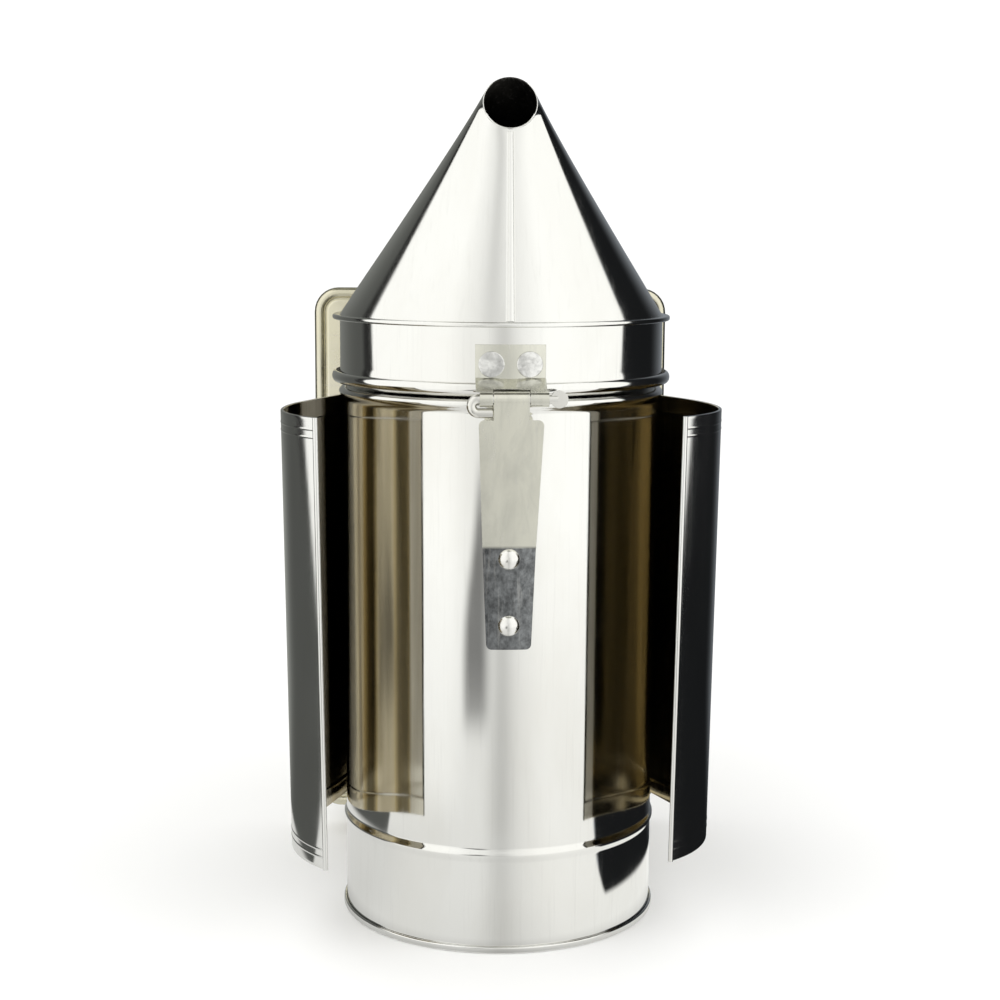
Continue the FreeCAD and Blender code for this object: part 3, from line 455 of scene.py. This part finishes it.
def makeCone():
    count = 224
    turns = [2 * math.pi * i / count for i in range(count)]
    shares = spaced(0.0, 1.0, 0.025)
    loops = [[conePoint(a, share, False) for a in turns] for share in shares]
    halfSheet = barrel["sheet"] / 2
    for radius, out in arcPoints((lid["mouthRadius"] - halfSheet, 0), halfSheet, 40, 140, 2):
        loops.append([mouthPoint(a, radius, out) for a in turns])
    loops += [[conePoint(a, share, True) for a in turns] for share in reversed(shares)]
    lip, level = lid["outer"] + lid["seamReach"], lid["seam"]
    seam = [(lid["inner"], level), (lip - 0.5, level), (lip - 0.45, level - 0.45)]
    seam += [(lip - 1.1, level - 0.5), (lip - 1.1, level - 0.95)]
    seam += arcPoints((lip - 0.6, level - 0.4), 0.6, -90, 0, 5)
    seam += arcPoints((lip - 0.6, level - 0.05), 0.6, 10, 90, 5)
    seam += [(lid["outer"] + 0.35, level + 0.55)]
    for radius, height in seam:
        loops.append([Vector((radius * math.cos(a), radius * math.sin(a), height)) for a in turns])
    bm = bmesh.new()
    rings = loft(bm, loops, False)
    bmesh.ops.bridge_loops(bm, edges=rings[-1] + rings[0])
    foldRun(bm)
    finishPiece(bm, "lidCone", [coneSteel, sootySteel], "lid", ["lid_cone"], 38,
                lambda face: 1 if insideCone(face) else 0)


def insideCone(face):
    middle = face.calc_center_median()
    share = (middle.z - lid["coneStart"]) / (lid["mouthZ"] - lid["coneStart"])
    share = max(0.0, min(1.0, share))
    away = middle - Vector((0, lid["mouthY"] * share, middle.z))
    return away.dot(face.normal) < -0.05 and away.xy.length < lid["outer"] - 0.2


# The standing seam: a flattened fold down the front of the cone
def foldRun(bm):
    front = -math.pi / 2
    low, high = conePoint(front, 0.004, False), conePoint(front, 0.985, False)
    along = (high - low).normalized()
    across = Vector((1, 0, 0))
    out = along.cross(across).normalized()
    out = out if out.y < 0 else -out
    loops = []
    for share in spaced(0.0, 1.0, 0.04):
        middle = low.lerp(high, share)
        loops.append([middle + across * x * (1.0 - 0.25 * share) + out * y for x, y in lid["fold"]])
    loft(bm, loops)


makeCollar()
makeCone()
print("lid ready")


shield = {
    "low": 31.0, "high": 166.4, "path": 54.0, "flare": 60.0, "curl": 38.0, "hem": 6.0, "roll": 0.75,
    "pressed": (3.6, 5.9),     # the lines pressed into each hem, from its edge
}
shieldSides = (
    {"side": 1, "flareTop": 26.7, "flareBottom": 22.4, "straight": 25.9, "curl": 53.0,
     "tones": ((0, 0.95), (6, 0.9), (9, 0.17), (28, 0.15), (34, 0.24), (42, 0.20), (47, 0.36), (60, 0.40),
               (75, 0.5), (120, 0.2))},      # heat tint with painted highlight and shade bands, against the way from the front edge
    {"side": -1, "flareTop": 24.0, "flareBottom": 20.4, "straight": 33.2, "curl": 45.0,
     "tones": ((0, 0.98), (10, 0.95), (13, 0.2), (21, 0.17), (25, 0.62), (39, 0.66), (43, 0.12), (48, 0.12),
               (53, 0.8), (66, 0.84), (73, 0.35), (125, 0.15))},
)


# Tone of the inside, by each point's way along the sheet from its front edge: bronze heat tint with painted
# highlight and shade bands
def shieldTones(side, path):
    points = [place for place, normal in path]
    found, gone = [], 0.0
    for here, before in zip(reversed(points), [points[-1]] + list(reversed(points))):
        gone += (here - before).length
        found.append(between(gone, side["tones"]))
    return list(reversed(found))


# Plan points of one side from the back to the front edge, each with its outward direction
def shieldPath(side, height):
    share = (height - shield["low"]) / (shield["high"] - shield["low"])
    turn = math.radians(side["flareBottom"] + share * (side["flareTop"] - side["flareBottom"]))
    curl = math.radians(side["curl"])
    found = []

    def arc(centre, radius, start, end, count):
        for i in range(count + 1):
            a = start + (end - start) * i / count
            normal = Vector((math.cos(a), math.sin(a), 0))
            found.append((centre + normal * radius, normal))

    arc(Vector((0, 0, 0)), shield["path"], math.pi / 2, turn, 40)
    normal = Vector((math.cos(turn), math.sin(turn), 0))
    start = found[-1][0]
    run = Vector((math.sin(turn), -math.cos(turn), 0)) * side["straight"]
    for i in range(1, 12):
        found.append((start + run * (i / 12), normal))
    flareCentre = start + run - normal * shield["flare"]
    arc(flareCentre, shield["flare"], turn, 0, 22)
    curlCentre = flareCentre + Vector((shield["flare"] - shield["curl"], 0, 0))
    arc(curlCentre, shield["curl"], -curl / 28, -curl, 27)
    across = side["side"]
    return [(Vector((across * p.x, p.y, height)), Vector((across * n.x, n.y, 0))) for p, n in found]


# How far the outside and the inside lie from the middle of the sheet
def shieldOffsets(height):
    near = min(shield["high"] - height, height - shield["low"])
    edge = 0.25 * (1 - math.sqrt(max(0.0, 1 - ((0.3 - near) / 0.3) ** 2))) if near < 0.3 else 0.0
    hem = 1 / (1 + math.exp((near - shield["hem"]) / 0.12))
    outside = 0.25 - edge + sum(bulge(near, line, 0.7, 0.10) for line in shield["pressed"])
    inside = -0.25 - 0.5 * hem + edge
    return outside, inside


def makeShield():
    low, high, hem = shield["low"], shield["high"], shield["hem"]
    heights = spaced(low, low + 0.3, 0.1) + spaced(low + 1, low + 3, 1)
    heights += spaced(low + 3.2, low + hem + 0.6, 0.1)
    heights += spaced(low + 9, high - 9, 6)
    heights += spaced(high - hem - 0.6, high - 3.2, 0.1) + spaced(high - 3, high - 1, 1)
    heights += spaced(high - 0.3, high, 0.1)
    loops, tones = [], []
    for height in heights:
        right = shieldPath(shieldSides[0], height)
        left = shieldPath(shieldSides[1], height)
        line = list(reversed(right)) + left[1:]
        outside, inside = shieldOffsets(height)
        loops.append([p + n * outside for p, n in line] + [p + n * inside for p, n in reversed(line)])
        rightTones, leftTones = shieldTones(shieldSides[0], right), shieldTones(shieldSides[1], left)
        row = list(reversed(rightTones)) + leftTones[1:]
        tones.append(row + list(reversed(row)))
    bm = bmesh.new()
    # The tone layer carries the painted highlight and shade bands of the shield's inside
    layer = bm.verts.layers.float.new("tone")
    for ring, row in zip(loft(bm, loops), tones):
        for edge, tone in zip(ring, row):
            edge.verts[0][layer] = tone
    for side in shieldSides:
        ends = [shieldPath(side, z)[-1][0] for z in (low, high)]
        route = [ends[0].lerp(ends[1], i / 20) for i in range(21)]
        sweptRod(bm, route, shield["roll"], 16)
    finishPiece(bm, "heatShield", [shieldSteel, bronzeTintAndShadeSteel], "barrel", ["heat_shield"], 40,
                lambda face: 1 if insideShield(face) else 0)


def insideShield(face):
    middle = face.calc_center_median()
    near = middle - Vector((0, 8, middle.z))
    return face.normal.dot(near.normalized()) < -0.15 and abs(face.normal.z) < 0.5


makeShield()
print("shield ready")


tray = {
    "front": 64.0, "width": 123.0, "low": 12.0, "high": 199.0, "corner": 8.0,
    "section": (    # in from the tray's outline, and back from its face
        (22.0, 0.0), (4.6, 0.0), (4.1, 0.08), (3.75, 0.35), (3.4, 0.5), (3.1, 0.4), (2.85, 0.0), (2.5, -0.5),
        (2.0, -0.85), (1.4, -0.95), (0.7, -0.85), (0.15, -0.5), (-0.25, 0.0), (-0.45, 0.7), (-0.5, 1.5),
        (-0.35, 2.3), (0.05, 2.75), (0.2, 3.05), (0.14, 3.4), (0.0, 3.9), (0.0, 6.4), (0.0, 8.8),
        (0.15, 9.0), (0.45, 9.0), (0.6, 8.8), (0.6, 5.0), (0.6, 1.8), (1.1, 0.8), (1.9, 0.65), (22.0, 0.6)),
    "boltHoles": [((x, 60, z), (x, 75, z), 2.15) for x in (-20, 20) for z in (50, 146)],
    "outlet": ((0, 60, 22), (0, 75, 22), 6.0),
    "valve": ((0, 60, 75), (0, 75, 75), 11.0),
}
hingeLine = Vector((0, 74.0, 12.0))
leanAngle = math.radians(20)


# A rounded rectangle in the plane at y, made smaller by inset
def roundedOutline(inset, y, perCorner=8, perSide=16):
    half = tray["width"] / 2 - inset
    low, high = tray["low"] + inset, tray["high"] - inset
    corner = max(0.4, tray["corner"] - inset)
    found = []
    for x, z, start in ((half - corner, high - corner, 0), (corner - half, high - corner, 90),
                        (corner - half, low + corner, 180), (half - corner, low + corner, 270)):
        found += [Vector((px, y, pz)) for px, pz in arcPoints((x, z), corner, start, start + 90, perCorner)]
    full = []
    for here, after in zip(found, found[1:] + found[:1]):
        full.append(here)
        if (after - here).length > corner:
            full += [here.lerp(after, i / perSide) for i in range(1, perSide)]
    return full


# A point of the shut rear board, after the board leans back
def leaned(point):
    y, z = point.y - hingeLine.y, point.z - hingeLine.z
    cos, sin = math.cos(leanAngle), math.sin(leanAngle)
    return Vector((point.x, hingeLine.y + y * cos + z * sin, hingeLine.z - y * sin + z * cos))


def flipped(point):
    return Vector((point.x, 2 * hingeLine.y - point.y, point.z))


# A pressed tray: rolled edge at its face, a groove behind the roll, and a wall
def makeTray(name, place, body, node, holes):
    front = tray["front"]
    loops = [[place(p) for p in roundedOutline(inset, front + depth)] for inset, depth in tray["section"]]
    bm = bmesh.new()
    loft(bm, loops)
    piece = finishPiece(bm, name, [traySteel], body, [node], 35)
    for start, end, radius in holes:
        cutHole(piece, place(Vector(start)), place(Vector(end)), radius)


gusset = {
    "inset": 0.75, "thick": 1.15,
    "frontRows": (66.5, 69.5, 72.2), "rearRows": (75.8, 78.5, 81.5),
    "spanFrom": 73.0, "spanTo": 75.0, "spanRows": 30,
    "folds": 2, "foldDepth": 7.0, "foldShare": 0.10, "sagDepth": 2.2, "sagShare": 0.035,
    "creaseDepth": 0.9, "creaseShare": 0.02,
}


# The leather skin: tucked into both trays, sagging inwards in folds with small creases
def makeGusset():
    inset = gusset["inset"]
    rows = [("tuck", y) for y in gusset["frontRows"]]
    rows += [("span", share) for share in spaced(0.0, 1.0, 1 / gusset["spanRows"])]
    rows += [("tail", y) for y in gusset["rearRows"]]

    def skin(depth):
        loops = []
        for kind, value in rows:
            if kind == "tuck":
                loops.append(roundedOutline(inset + depth, value))
            elif kind == "tail":
                loops.append([leaned(p) for p in roundedOutline(inset + depth, value)])
            else:
                near = roundedOutline(inset + depth, gusset["spanFrom"])
                far = [leaned(p) for p in roundedOutline(inset + depth, gusset["spanTo"])]
                loops.append([spanned(a, b, value, i) for i, (a, b) in enumerate(zip(near, far))])
        return loops

    def spanned(near, far, share, index):
        point = near.lerp(far, share)
        width = (far - near).length
        inward = (Vector((0, point.y, 100)) - point).normalized()
        arch = math.sin(math.pi * share)
        fold = 0.5 - 0.5 * math.cos(2 * math.pi * share * gusset["folds"])
        sag = min(gusset["foldDepth"], width * gusset["foldShare"]) * fold
        sag += min(gusset["sagDepth"], width * gusset["sagShare"]) * arch
        crease = min(gusset["creaseDepth"], width * gusset["creaseShare"]) * arch
        ripple = math.sin(index * 0.9 + 4 * share) * 0.5 + math.sin(index * 0.37 - 7 * share) * 0.5
        return point + inward * (sag + crease * (1 + ripple))

    bm = bmesh.new()
    rings = loft(bm, skin(0.0) + list(reversed(skin(gusset["thick"]))), False)
    bmesh.ops.bridge_loops(bm, edges=rings[-1] + rings[0])
    blendByLean(finishPiece(bm, "bellowsLeather", [bellowsLeather], None, ["bellows_leather"], 75))


# Bakes a piece's placement into its mesh, as it lies between the boards
def blendByLean(piece):
    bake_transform(piece)


spring = {"seat": (0, 69.6, 120), "radius": 13.9, "wire": 1.1, "turns": 6.0, "steps": 288,
          "startGap": 3.35, "endsGap": 9.1, "flatTurn": 0.75, "flatShare": 0.07}


def makeSpring():
    near = Vector(spring["seat"])
    far = leaned(flipped(near))
    line = (far - near).normalized()
    start = near + line * spring["startGap"]
    length = (far - near).length - spring["endsGap"]
    across = Vector((1, 0, 0))
    other = line.cross(across).normalized()
    turns, flatTurn, flatShare = spring["turns"], spring["flatTurn"], spring["flatShare"]
    route = []
    for i in range(spring["steps"] + 1):
        share = i / spring["steps"]
        turn = 2 * math.pi * turns * share
        rise = min(1.0, share * turns / flatTurn) * 0.5 - min(1.0, (1 - share) * turns / flatTurn) * 0.5
        height = length * (share * (1 - 2 * flatShare) + flatShare * (1 + 2 * rise))
        around = across * math.cos(turn) + other * math.sin(turn)
        route.append(start + line * height + around * spring["radius"])
    bm = bmesh.new()
    sweptRod(bm, route, spring["wire"], 10)
    blendByLean(finishPiece(bm, "bellowsSpring", [springSteel], None, ["bellows_spring"], 45))


makeTray("frontTray", lambda p: p, "barrel", "bellows_front_tray", tray["boltHoles"] + [tray["outlet"]])
makeTray("rearTray", lambda p: leaned(flipped(p)), "rear_board", "bellows_rear_tray", [tray["valve"]])
makeGusset()
makeSpring()
print("bellows ready")


leafRivet = {
    "height": 181.2, "aside": 5.5, "surface": 51.3, "radius": 3.9, "shank": 1.6, "tail": 2.6, "crown": 0.16,
    "edge": 0.34, "inside": 50.4, "neck": 50.8, "under": 51.9, "top": 53.0,     # the last four from the axis
}


def makeLeafRivets():
    r = leafRivet
    rimTop = r["top"] - r["crown"]
    profile = [(0, r["inside"]), (r["tail"], r["inside"]), (r["tail"], r["neck"]), (r["shank"], r["neck"]),
               (r["shank"], r["under"]), (r["radius"], r["under"])]
    flat = r["radius"] - r["edge"]
    profile += arcPoints((flat, rimTop - r["edge"]), r["edge"], 0, 90, 6)
    for share in (0.85, 0.7, 0.5, 0.3, 0.15, 0.0):
        profile.append((flat * share, rimTop + r["crown"] * (1 - share * share)))
    bm = bmesh.new()
    for side in (-1, 1):
        before = set(bm.verts)
        turnedPiece(bm, profile, 72)
        turn = -math.pi / 2 + side * math.asin(r["aside"] / r["surface"])
        place = Matrix.Translation((0, 0, r["height"])) @ Matrix.Rotation(turn, 4, "Z")
        bmesh.ops.transform(bm, matrix=place @ Matrix.Rotation(math.pi / 2, 4, "Y"),
                            verts=[v for v in bm.verts if v not in before])
    finishPiece(bm, "leafRivets", [leafRivetSteel], "lid", ["lid_leaf_rivets"], 40)


makeLeafRivets()
print("rivets ready")


finishes = {
    "air_inlet_tube": plainSteel, "hinge_strap": strapSteel, "hinge_pin": wireSteel, "strap_rivets": rivetSteel,
    "shield_spacers": rivetSteel, "bracket_rivets": rivetSteel, "upper_bracket": plainSteel,
    "lower_bracket": plainSteel, "bracket_bolts": zincSteel, "bracket_nuts": zincSteel,
    "bellows_front_board": boardWood, "front_tray_tacks": zincSteel, "spring_seat_front": plainSteel,
    "lid_edge_wire": wireSteel, "lid_hinge_leaf": hingeSteel, "lid_lift_tab": hingeSteel,
    "lift_tab_rivets": rivetSteel, "grate_plate": plainSteel, "grate_legs": plainSteel,
    "bellows_rear_board": boardWood, "rear_tray_tacks": zincSteel, "spring_seat_rear": plainSteel,
    "valve_ring": traySteel, "valve_flap_strip": bellowsLeather, "valve_rivets": zincSteel,
    "valve_flap": bellowsLeather,
}
for name, material in finishes.items():
    nodes[name].data.materials.clear()
    nodes[name].data.materials.append(material)
print("finishes ready")


towardsCamera = Vector((-0.0558, -0.9984, 0))


# The level direction that lies angle degrees to the camera's right of the way to the camera
def sideways(angle):
    turn = math.radians(angle)
    right = Vector((-towardsCamera.y, towardsCamera.x, 0))
    return towardsCamera * math.cos(turn) + right * math.sin(turn)


def eased(value, low, high):
    share = max(0.0, min(1.0, (value - low) / (high - low)))
    return share * share * (3 - 2 * share)


surround = {
    "near": 0.051, "far": 0.34, "top": 0.9, "steps": 360,
    # levels: darker close to the foot, a painted shadow on the mirrored table top
    "levels": ((0.051, 0.55), (0.055, 0.70), (0.060, 0.80), (0.10, 0.84), (0.34, 0.89), (0.42, 1.0),
               (2, 1.02)),
    "right": ((0.084, 62), (0.34, 69), (0.49, 87), (1.24, 116)),     # where the dark right side begins
    "left": ((0.135, 76), (0.34, 73), (0.49, 95), (1.24, 128)),
}


# Painted brightness of the surround round the object, with a painted shadow close to the foot. reach is the way
# out over the floor and then up the wall, in metres
def surroundGrey(angle, reach):
    wall = max(0.0, reach - surround["far"])
    level = between(reach, surround["levels"])
    start = -27 + 8 * eased(wall, 0.03, 0.10)
    # A painted shade band left of the way to the camera, for the strap's soft shadow
    shadeBand = eased(angle, start, start + 7) * (1 - eased(angle, -13, -3))
    level *= 1 - 0.76 * shadeBand * eased(reach, 0.27, 0.37) * (1 - eased(wall, 0.085, 0.13))
    level *= 1 + 0.16 * eased(-angle, 16, 38) * eased(reach, 0.15, 0.24)
    level *= 1 + 0.17 * eased(angle, 9, 34) - 0.14 * eased(-angle, 40, 85) * (1 - eased(reach, 0.12, 0.16))
    # A painted grey patch round the way to the camera, for the camera side in reflections
    cameraSideDim = (0.20 + 0.10 * eased(reach, 0.1, 0.2)) * math.exp(-((angle - 1.5) / 8) ** 2)
    cameraSideDim *= 1 - eased(wall, 0.16, 0.30)
    cameraSideDim += 0.24 * math.exp(-((angle + 7) / 7) ** 2) * eased(wall, 0.18, 0.28)
    level *= 1 - cameraSideDim
    tint = (1.0, 1.0, 0.965)
    if angle > 0 and reach > surround["right"][0][0]:
        start = between(reach, surround["right"])
        inside = eased(angle, start - 0.6, start + 0.6)
        inside *= 1 - eased(angle, 170, 174)
        dark = 0.011 + 0.24 * eased(angle, 122, 166)
        level += (dark - level) * inside
        if inside > 0.5:
            tint = (0.93, 1.0, 1.08)
    if angle < 0 and reach > surround["left"][0][0]:
        start = between(reach, surround["left"])
        inside = eased(-angle, start - 0.6, start + 0.6) * (1 - eased(-angle, 170, 174))
        edge = (1 - eased(-angle, start + 7, start + 13)) * eased(wall, 0.08, 0.14)
        dark = (0.095 + 0.11 * eased(-angle, 110, 160)) * (1 - 0.75 * edge)
        dark += 0.20 * eased(-angle, 120, 165) * (1 - eased(wall, 0.08, 0.14))
        level += (dark - level) * inside
        if inside > 0.5 and edge < 0.5:
            tint = (0.97, 1.0, 0.93)
    return [level * t for t in tint]


def ceilingGrey(radius):
    level = between(radius, ((0.0, 0.10), (0.22, 0.13), (0.30, 0.5), (0.34, 1.0)))
    return [level, level, level * 0.86]


# A glowing sheet that only the polished metal mirrors: painted reflections of a table top, side screens and a dim
# ceiling, with painted shadow and shade. The camera doesn't see it
def makeSurround():
    near, far, top, steps = [surround[key] for key in ("near", "far", "top", "steps")]
    walls = spaced(0.01, 0.3, 0.015) + spaced(0.34, top, 0.05)
    rows = [("floor", near * (far / near) ** (i / 34)) for i in range(35)] + [("wall", h) for h in walls]
    rows += [("ceiling", r) for r in (0.33, 0.31, 0.29, 0.26, 0.22, 0.15, 0.07, 0.005)]
    bm = bmesh.new()
    layer = bm.verts.layers.float_color.new("glow")
    rings = []
    for kind, value in rows:
        ring = []
        for i in range(steps):
            angle = -180 + 360 * i / steps
            way = sideways(angle)
            if kind == "floor":
                place, shade = way * value + Vector((0, 0, 0.0004)), surroundGrey(angle, value)
            elif kind == "wall":
                place, shade = way * far + Vector((0, 0, value)), surroundGrey(angle, far + value)
            else:
                place, shade = way * value + Vector((0, 0, top)), ceilingGrey(value)
            vert = bm.verts.new(place)
            vert[layer] = (*shade, 1.0)
            ring.append(vert)
        rings.append(ring)
    for low, high in zip(rings, rings[1:]):
        for i in range(steps):
            j = (i + 1) % steps
            bm.faces.new((low[i], low[j], high[j], high[i]))    # bridge_loops misses between flat rings
    mesh = bpy.data.meshes.new("surround")
    bm.to_mesh(mesh)
    bm.free()
    made = bpy.data.materials.new("surroundGlow")
    made.use_nodes = True
    tree = made.node_tree
    tree.nodes.clear()
    shade = addNode(tree, "Attribute", {"attribute_name": "glow"})
    glow = addNode(tree, "Emission")
    tree.links.new(shade.outputs["Color"], glow.inputs["Color"])
    output = addNode(tree, "OutputMaterial")
    tree.links.new(glow.outputs["Emission"], output.inputs["Surface"])
    mesh.materials.append(made)
    card = bpy.data.objects.new("surround", mesh)
    bpy.context.scene.collection.objects.link(card)
    card.visible_camera = False
    card.visible_diffuse = False
    card.visible_shadow = False
    card.visible_transmission = False


studio = {
    "world": (1.0, 1.0, 0.99), "strength": 1.10, "floor": (0.955, 0.955, 0.95),
    "boxes": (("softbox", (-0.7, -0.8, 1.5), 5.0, 1.2),    # place, power, size
              ("fillBox", (0.9, -0.5, 1.2), 2.5, 1.0)),
}
view = {"place": (-0.0335, -0.5991, 0.222), "lens": 67.5,
        "pitch": math.radians(8.39), "roll": math.radians(0.33)}


def makeFloor():
    bm = bmesh.new()
    bmesh.ops.create_grid(bm, x_segments=2, y_segments=2, size=12)
    mesh = bpy.data.meshes.new("floor")
    bm.to_mesh(mesh)
    bm.free()
    material, tree, shader = startMaterial("paleFloor", 0.0, 0.9, studio["floor"])
    shader.inputs["Specular IOR Level"].default_value = 0.1
    mesh.materials.append(material)
    floor = bpy.data.objects.new("floor", mesh)
    bpy.context.scene.collection.objects.link(floor)


def makeLight():
    world = bpy.data.worlds.new("studio")
    bpy.context.scene.world = world
    world.use_nodes = True
    background = world.node_tree.nodes["Background"]
    background.inputs["Color"].default_value = (*studio["world"], 1.0)
    background.inputs["Strength"].default_value = studio["strength"]
    for name, place, power, size in studio["boxes"]:
        data = bpy.data.lights.new(name, "AREA")
        data.energy = power
        data.size = size
        light = bpy.data.objects.new(name, data)
        light.location = place
        light.rotation_euler = (Vector((0, 0, 0.1)) - Vector(place)).to_track_quat("-Z", "Y").to_euler()
        bpy.context.scene.collection.objects.link(light)


def makeCamera():
    data = bpy.data.cameras.new("camera")
    data.lens = view["lens"]
    data.sensor_width = 36.0
    camera = bpy.data.objects.new("camera", data)
    camera.location = view["place"]
    look = -towardsCamera * math.cos(view["pitch"]) - Vector((0, 0, math.sin(view["pitch"])))
    camera.rotation_mode = "QUATERNION"
    camera.rotation_quaternion = look.to_track_quat("-Z", "Y") @ Quaternion(Vector((0, 0, 1)), view["roll"])
    bpy.context.scene.collection.objects.link(camera)
    bpy.context.scene.camera = camera


makeSurround()
makeFloor()
makeLight()
makeCamera()
bpy.context.scene.view_settings.view_transform = "Standard"
